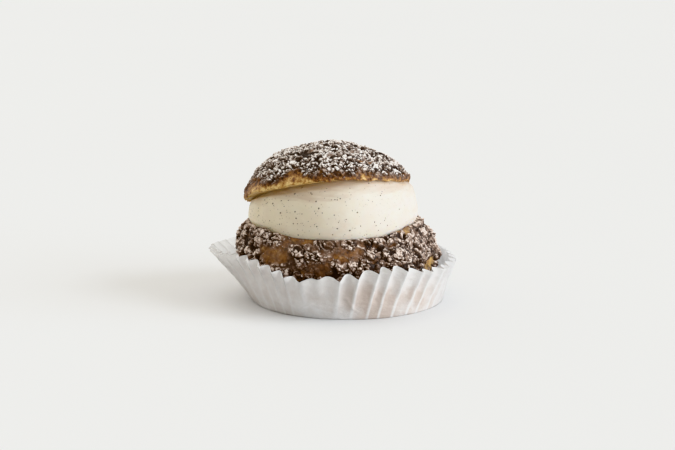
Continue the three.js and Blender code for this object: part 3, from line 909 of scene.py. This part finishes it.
def cream_place(angle, share):
    """A point on the side of the cream."""
    across, along = np.sin(radians(angle)), -np.cos(radians(angle))
    facing = np.cos(radians(angle))
    end = np.where(facing > 0, CREAM_FRONT_RADIUS, CREAM_BACK_RADIUS)
    widest = blend(CREAM_SIDE_RADIUS, end, facing ** 2)
    side = lid_underside_at(widest * across, widest * along) - cream_foot_at(widest * along)
    foot_part = np.clip(1 - share / CREAM_WIDEST_SHARE, 0, 1)
    top_part = np.clip((share - CREAM_WIDEST_SHARE) / (1 - CREAM_WIDEST_SHARE), 0, 1)
    radius = widest - CREAM_FOOT_DRAW_IN * foot_part ** 2 - CREAM_TOP_DRAW_IN * side * top_part ** 2
    x, y = radius * across, radius * along
    z = blend(cream_foot_at(y), lid_underside_at(x, y), share)
    place = np.stack([x, y, z], axis=-1)
    swell = summed_noise(place, CREAM_SWELLS, CREAM_SALT)
    fade = np.clip(np.minimum(share, 1 - share) * CREAM_EDGE_FADE, 0, 1)
    form = CREAM_CREASE
    crease_at = form["share"] + form["wave"] * np.sin(radians(angle * form["waves"]))
    crease = form["depth"] * bell(share - crease_at, form["half_width"])
    moved = (swell - crease) * fade - CREAM_TUCK * eased(share, *CREAM_TUCK_EDGE)
    return place + moved[..., None] * np.stack([across, along, 0 * across], axis=-1)


def cream_piece():
    share = np.repeat(np.linspace(0, 1, CREAM_ROWS), CREAM_COLUMNS)
    angle = np.tile(np.arange(CREAM_COLUMNS) * FULL_TURN / CREAM_COLUMNS, CREAM_ROWS)
    places = cream_place(angle, share)
    foot, top = (
        [ring * [part, part, 1] for part in CREAM_INNER_RINGS]
        for ring in (places[:CREAM_COLUMNS], places[-CREAM_COLUMNS:])
    )
    for ring in foot:
        ring[:, 2] = cream_foot_at(ring[:, 1])
    for ring in top:
        ring[:, 2] = lid_underside_at(ring[:, 0], ring[:, 1])
    centres = [[0, 0, cream_foot_at(0)], [0, 0, lid_underside_at(0, 0)]]
    points = np.concatenate([*foot[::-1], places, *top, centres])
    faces = closed_faces(CREAM_ROWS + len(foot) + len(top), CREAM_COLUMNS)
    inner = np.zeros(len(foot) * CREAM_COLUMNS)
    depth = np.concatenate([inner, share, inner + 1, [0, 1]])
    # Painted light and shade: the cream is coloured whiter towards the lit right and yellower towards the
    # shaded left
    painted_lit_side = eased(points[:, 0], -CREAM_SIDE_RADIUS, CREAM_SIDE_RADIUS)
    return make_piece("cream_filling", points, faces, {"height": depth, "painted_lit_side": painted_lit_side})


def drawn(least_and_play, number):
    """A size from its least, what a random draw adds to it and a number from 0 to 1."""
    least, play = least_and_play
    return least + play * number


def speck_piece():
    """Tiny flat grains pressed into the side of the cream."""
    draw = random_from(SPECK_SEED)
    sites = [(angle, share, drawn(MAIN_SPECK_SIZE, next(draw))) for angle, share in MAIN_SPECKS]
    for _ in range(OTHER_SPECKS):
        angle, share = FULL_TURN * next(draw), drawn(SPECK_HEIGHT, next(draw))
        sites.append((angle, share, drawn(OTHER_SPECK_SIZE, next(draw) ** 2)))
    angles, shares, sizes = (np.array(values) for values in zip(*sites))
    middles = cream_place(angles, shares)
    arounds = cream_place(angles + SPECK_STEPS[0], shares) - middles
    upwards = cream_place(angles, shares + SPECK_STEPS[1]) - middles
    vertices, faces = [], []
    for middle, around, upward, size in zip(middles, arounds, upwards, sizes):
        around = around / np.linalg.norm(around)
        upward = upward / np.linalg.norm(upward)
        outward = np.cross(around, upward)
        start = len(vertices)
        stretch = drawn(SPECK_STRETCH, next(draw))
        for corner in range(SPECK_CORNERS):
            turned = 2 * math.pi * corner / SPECK_CORNERS
            reach = size * drawn(SPECK_REACH, next(draw))
            sideways = stretch * math.cos(turned) * around + math.sin(turned) * upward
            vertices.append(middle + reach * sideways + SPECK_LEVELS["rim"] * outward)
        vertices += [middle + SPECK_LEVELS[level] * outward for level in ("top", "foot")]
        faces += fan_faces(start + SPECK_CORNERS, start, SPECK_CORNERS, True)
        faces += fan_faces(start + SPECK_CORNERS + 1, start, SPECK_CORNERS, False)
    return make_piece("cream_specks", np.array(vertices), faces)


# Paper case

def pleat_folds():
    """The outer folds all the way round, as in the part's source."""
    draw = random_from(PLEAT_SEED)
    start = FRONT_FOLDS[-1]
    span = FRONT_FOLDS[0] + FULL_TURN - start
    count = round(span / PLEAT_MEAN_WIDTH)
    folds = list(FRONT_FOLDS)
    for index in range(1, count):
        folds.append(start + span * (index + (next(draw) - 0.5) * PLEAT_PLAY) / count)
    return folds


def pleat_wave(turn):
    """1 on an outer fold, at whole turns, and -1 midway, with narrow ridges and wide valleys."""
    wave = np.sqrt(np.sin(math.pi * turn) ** 2 + PLEAT_RIDGE ** 2) - PLEAT_RIDGE
    return 1 - 2 * wave / (math.sqrt(1 + PLEAT_RIDGE ** 2) - PLEAT_RIDGE)


def crease_rise(angle, share):
    """How far the pressed creases stand out of the wall."""
    scale = np.array([CASE_RIM_HALF_WIDTH * radians(1), CASE_RIM_HEIGHT])
    place = np.stack([angle, share], axis=-1) * scale
    rise = 0
    for crease in WALL_CREASES:
        start, end = np.reshape(crease, (2, 2)) * scale
        length = math.dist(start, end)
        ahead = (end - start) / length
        along, beside = (place - start) @ ahead, (place - start) @ [-ahead[1], ahead[0]]
        beyond = np.abs(along - length / 2) - length / 2
        rise = rise + CREASE_RISE * bell(beside, CREASE_HALF_WIDTH) * (1 - eased(beyond, *CREASE_END))
    return rise


def wall_place(angle, pleat, share, inset):
    """A point of the wall: share 0 is at the floor's edge and share 1 at the rim."""
    depth = PLEAT_DEPTH
    for centre, half_width, kept in FLAT_PLEATS:
        depth = depth * (1 - (1 - kept) * bell(turn_between(angle, centre), half_width))
    floor_turn, rim_turn = radians(angle - PLEAT_SWIRL), radians(angle)
    across, along = np.sin(rim_turn), -np.cos(rim_turn)
    floor_x = CASE_FLOOR_SHIFT + (CASE_FLOOR_RADIUS - inset) * np.sin(floor_turn)
    floor_y = -(CASE_FLOOR_RADIUS - inset) * np.cos(floor_turn)
    reach = pleat * depth * share ** PLEAT_FADE + rises_at(RIM_CURLS, angle) * share ** 3 - inset
    dips = rises_at(RIM_DIPS, angle)
    rim_z = CASE_RIM_HEIGHT - CASE_LEFT_RISE * across + rises_at(RIM_WAVES, angle)
    rim_z = rim_z - pleat * PLEAT_NOD - dips
    x = blend(floor_x, (CASE_RIM_HALF_WIDTH + reach) * across, share)
    y = blend(floor_y, (CASE_RIM_HALF_DEPTH + reach) * along, share)
    place = np.stack([x, y, blend(inset, rim_z, share)], axis=-1)
    crumple = summed_noise(place, WALL_CRUMPLES, WALL_SALT)
    crumple += crease_rise(turn_between(angle, 0), share) + DIP_BEND * dips * share ** 2
    outward = np.stack([across, along, 0 * rim_turn], axis=-1)
    return place + outward * (crumple * eased(share, *CRUMPLE_EDGE))[:, None]


def paper_piece():
    folds = pleat_folds()
    turns = np.arange(PLEAT_COLUMNS) / PLEAT_COLUMNS
    spans = zip(folds, folds[1:] + [folds[0] + FULL_TURN])
    angles = np.concatenate([blend(fold, following, turns) for fold, following in spans])
    waves = np.tile(pleat_wave(turns), len(folds))
    columns = len(angles)
    shares = np.linspace(0, 1, WALL_ROWS) ** ROW_POWER
    outside = [wall_place(angles, waves, np.full(columns, share), 0) for share in shares]
    inside = [wall_place(angles, waves, np.full(columns, share), CASE_PAPER) for share in shares[::-1]]
    middle, raised = np.array([CASE_FLOOR_SHIFT, 0, 0]), np.array([0, 0, CASE_PAPER])
    floor_rings = [middle + (outside[0] - middle) * part for part in FLOOR_RINGS]
    rings = floor_rings + outside + inside + [ring + raised for ring in floor_rings[::-1]]
    points = np.concatenate(rings + [[middle, middle + raised]])
    flat = np.zeros(len(FLOOR_RINGS))
    levels = np.repeat(np.concatenate([flat, shares, shares[::-1], flat]), columns)
    levels = np.concatenate([levels, [0, 0]])
    ridges = np.tile(eased(waves, *RIDGE_EDGE), len(rings))
    x, y, z = points.T
    bun_radii, bun_heights = bun_profile(np.linspace(BUN_FOOT_TURN, BUN_WAIST_TURN, 100))
    clearance = np.hypot(x - BUN_CENTRE[0], y - BUN_CENTRE[1]) - np.interp(z, bun_heights, bun_radii)
    # Light comes through the sides and the back, and most where the wall stands free at the left
    side = graded(np.abs(angle_of(points)), *LIT_SIDES)
    free = graded(clearance, *FREE_CLEARANCE) * graded(z, *FREE_HEIGHT) * graded(x, *FREE_RIGHT)
    attributes = {
        "ridge": np.concatenate([ridges, [0, 0]]),
        # Painted show-through of the crust, low on the wall and more towards the right, where the light
        # comes from
        "near": graded(levels, *SHOW_THROUGH_UP) * graded(x, *SHOW_THROUGH_RIGHT) * graded(x, *SHOW_THROUGH_FAR_RIGHT),
        "passing": PASSING[0] + PASSING[1] * side + PASSING[2] * free,
        "sheer": SHEER[0] + SHEER[1] * free,
    }
    return make_piece("case_paper", points, closed_faces(len(rings), columns), attributes)


# Materials

class Recipe:
    """A material in the making, with its nodes."""

    def __init__(self, name):
        self.material = bpy.data.materials.new(name)
        self.material.use_nodes = True
        self.nodes = self.material.node_tree.nodes
        self.shader = self.nodes["Principled BSDF"]

    def feed(self, socket, value):
        """Links a socket to another one, or sets it to a plain value."""
        if isinstance(value, bpy.types.NodeSocket):
            self.material.node_tree.links.new(value, socket)
        elif socket.type == "RGBA":
            socket.default_value = (*value, 1)
        else:
            socket.default_value = value

    def node(self, kind, inputs, output=0, **settings):
        """One output of a new node whose inputs are fed."""
        node = self.nodes.new(kind)
        for name, value in settings.items():
            setattr(node, name, value)
        for name, value in inputs.items():
            self.feed(node.inputs[name], value)
        return node.outputs[output]

    def noise(self, scale, detail=4, roughness=0.55, stretch=(1, 1, 1)):
        """Noise in the object's own place, so that it stays put from every side."""
        place = self.node("ShaderNodeTexCoord", {}, "Object")
        place = self.node("ShaderNodeMapping", {"Vector": place, "Scale": stretch})
        inputs = {"Vector": place, "Scale": scale, "Detail": detail, "Roughness": roughness}
        return self.node("ShaderNodeTexNoise", inputs, "Fac")

    def ramp(self, source, stops):
        """A colour ramp through (position, colour) stops."""
        ramp = self.nodes.new("ShaderNodeValToRGB")
        elements = ramp.color_ramp.elements
        while len(elements) < len(stops):
            elements.new(0.5)
        for element, (position, colour) in zip(elements, stops):
            element.position = position
            element.color = (*colour, 1)
        self.feed(ramp.inputs["Fac"], source)
        return ramp.outputs["Color"]

    def share(self, source, stops):
        """A ramp of plain shares through (position, share) stops."""
        return self.ramp(source, [(position, (level, level, level)) for position, level in stops])

    def attribute(self, name):
        return self.node("ShaderNodeAttribute", {}, "Fac", attribute_name=name)

    def mix(self, share, first, second):
        """Two colours mixed by a share."""
        return self.node("ShaderNodeMix", {0: share, 6: first, 7: second}, 2, data_type="RGBA")

    def sum(self, operation, *values, clamp=True):
        """Sums on numbers."""
        return self.node("ShaderNodeMath", dict(enumerate(values)), operation=operation, use_clamp=clamp)

    def dress(self, colour, finish):
        """Gives the shader its colour and its plain values."""
        for name, value in {"Base Color": colour, **finish}.items():
            self.feed(self.shader.inputs[name], value)
        return self.material

    def bump(self, height, distance, strength):
        inputs = {"Height": height, "Distance": distance, "Strength": strength}
        self.feed(self.shader.inputs["Normal"], self.node("ShaderNodeBump", inputs))


def crust_material(name, looks):
    """Baked skin and sugar crust under icing sugar, laid out by the mesh's own numbers."""
    look = Recipe(name)
    fineness, contrast = looks["mottle"]
    mottle = look.noise(fineness, *MOTTLE_DETAIL)
    bake = look.sum("MULTIPLY_ADD", mottle, contrast, look.attribute("bake"), clamp=False)
    bake = look.sum("SUBTRACT", bake, contrast / 2)
    skin = look.ramp(bake, list(zip(SKIN_STOPS, looks["skin"])))
    grain = look.noise(*CRUMB_NOISE)
    # Darker in the gaps between crumbs: partly the baked skin, partly painted shade
    crumb = look.mix(look.attribute("peak"), GAP_BROWN_AND_SHADE, look.ramp(grain, CRUMB_TONES))
    baked = look.mix(look.attribute("crust"), skin, crumb)
    lying = look.attribute("sugar")
    dusted = look.mix(look.sum("MULTIPLY", lying, DUST_COVER), baked, looks["dust"])
    powder = look.noise(*POWDER_NOISE)
    powder = look.sum("MULTIPLY_ADD", powder, POWDER_CONTRAST, lying, clamp=False)
    powder = look.sum("SUBTRACT", powder, POWDER_START, clamp=False)
    sugar = look.sum("MULTIPLY", powder, POWDER_SHARPNESS)
    roughness = look.sum("MULTIPLY_ADD", sugar, SUGAR_ROUGHNESS, CRUST_ROUGHNESS)
    finish = {"Roughness": roughness, "Specular IOR Level": CRUST_SHINE}
    look.bump(grain, *CRUMB_BUMP)
    return look.dress(look.mix(sugar, dusted, looks["white"]), finish)


def cream_material():
    """Pale cream, clouded and flecked, with painted light and shade: whiter towards the right, where the
    light falls, yellower and darker towards the shaded left, and painted shade in its top under the lid's
    edge.
    """
    look = Recipe("cream")
    soft = look.noise(*CREAM_NOISE)
    # Painted light and shade: whiter on the lit right, yellower on the shaded left
    painted_lit_side = look.ramp(soft, CREAM_LIT_SIDE)
    colour = look.mix(look.attribute("painted_lit_side"), look.ramp(soft, CREAM_SHADED_SIDE), painted_lit_side)
    cloud = look.share(look.noise(*CLOUD_NOISE), CLOUD_SHARES)
    colour = look.mix(cloud, colour, CLOUD_COLOUR)
    # Painted shade near the top of the cream, under the lid's edge, with a streaky lower edge
    streaks, height = look.noise(*STREAK_NOISE), look.attribute("height")
    height = look.sum("MULTIPLY_ADD", streaks, STREAK_STRENGTH, height, clamp=False)
    lid_shade = look.share(look.sum("SUBTRACT", height, STREAK_SHIFT), UNDER_LID_SHADE_SHARES)
    colour = look.mix(lid_shade, colour, UNDER_LID_SHADE)
    place = look.node("ShaderNodeTexCoord", {}, "Object")
    flecks = look.node("ShaderNodeTexVoronoi", {"Vector": place, "Scale": FLECK_SCALE}, "Distance")
    colour = look.mix(look.share(flecks, FLECK_SHARES), colour, FLECK_COLOUR)
    look.bump(look.noise(*CREAM_BUMP_NOISE), *CREAM_BUMP)
    return look.dress(colour, CREAM_FINISH)


def plain_material(name, noise, tones, finish):
    """A material of one tone that varies a little."""
    look = Recipe(name)
    return look.dress(look.ramp(look.noise(*noise), tones), finish)


def paper_material():
    """Thin greaseproof paper, which lets some light through."""
    look = Recipe("paper")
    base = look.ramp(look.noise(*FIBRE_NOISE), PAPER_TONES)
    # Painted show-through: where the wall lies against the bun, the baked crust is painted as showing
    # through it faintly, more towards the right, where the light comes from
    shown = look.sum("MULTIPLY_ADD", look.noise(*BLOTCH_NOISE), BLOTCH_CONTRAST, BLOTCH_SHIFT)
    shown = look.sum("MULTIPLY", shown, look.attribute("near"))
    flat = look.sum("MULTIPLY_ADD", look.attribute("ridge"), -RIDGE_WITHOUT_SHOW_THROUGH, 1.0)
    shown = look.sum("MULTIPLY", shown, flat)
    look.bump(look.noise(*CRINKLE_NOISE), *CRINKLE_BUMP)
    material = look.dress(look.mix(shown, base, PAPER_SHOW_THROUGH), PAPER_FINISH)
    through = look.node("ShaderNodeBsdfTranslucent", {"Color": THROUGH_COLOUR})
    clear = look.node("ShaderNodeBsdfTransparent", {})
    thin = look.shader.outputs[0]
    for share, other in (("passing", through), ("sheer", clear)):
        thin = look.node("ShaderNodeMixShader", {0: look.attribute(share), 1: thin, 2: other})
    look.feed(look.nodes["Material Output"].inputs["Surface"], thin)
    return material


# The object

base = bun_piece()
base.data.materials.append(crust_material("base_crust", BUN_LOOKS))
lid = lid_piece()
lid.data.materials.append(crust_material("lid_crust", LID_LOOKS))
filling = cream_piece()
filling.data.materials.append(cream_material())
specks = speck_piece()
specks.data.materials.append(plain_material("specks", SPECK_NOISE, SPECK_TONES, SPECK_FINISH))
paper = paper_piece()
paper.data.materials.append(paper_material())

for piece, node, slot in (
    (base, "choux_base", "choux_base"),
    (lid, "choux_cap", "choux_cap"),
    (filling, "cream", "cream"),
    (paper, "paper_case", "paper"),
):
    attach(piece, "root")
    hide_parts(node)
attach(specks, "root")


# Floor, light and camera

def floor_piece():
    across = np.linspace(-FLOOR_HALF_SIZE, FLOOR_HALF_SIZE, FLOOR_POINTS)
    x, y = np.meshgrid(across, across)
    points = np.stack([x.ravel(), y.ravel(), np.full(x.size, -FLOOR_DROP)], axis=1)
    cells = range(FLOOR_POINTS - 1)
    starts = [row * FLOOR_POINTS + column for row in cells for column in cells]
    faces = [(start, start + 1, start + FLOOR_POINTS + 1, start + FLOOR_POINTS) for start in starts]
    return make_piece("floor", points, faces)


floor = floor_piece()
floor.data.materials.append(plain_material("floor", FLOOR_NOISE, FLOOR_TONES, FLOOR_FINISH))

world = bpy.data.worlds.new("surroundings")
world.use_nodes = True
for name, value in SURROUNDINGS.items():
    world.node_tree.nodes["Background"].inputs[name].default_value = value
bpy.context.scene.world = world

for name, (energy, azimuth, elevation, spread, colour) in LIGHTS.items():
    light = bpy.data.lights.new(name, "SUN")
    light.energy = energy
    light.angle = radians(spread)
    light.color = colour
    light_object = bpy.data.objects.new(name, light)
    light_object.rotation_euler = (0, radians(90 - elevation), radians(azimuth))
    bpy.context.scene.collection.objects.link(light_object)

camera = bpy.data.cameras.new("camera")
camera.lens = CAMERA_LENS
camera.sensor_width = CAMERA_SENSOR
camera.clip_end = CAMERA_REACH
camera_object = bpy.data.objects.new("camera", camera)
camera_object.location = CAMERA_PLACE
camera_object.rotation_euler = (radians(CAMERA_PITCH), 0, 0)
bpy.context.scene.collection.objects.link(camera_object)
bpy.context.scene.camera = camera_object

bpy.context.scene.view_settings.view_transform = "Khronos PBR Neutral"
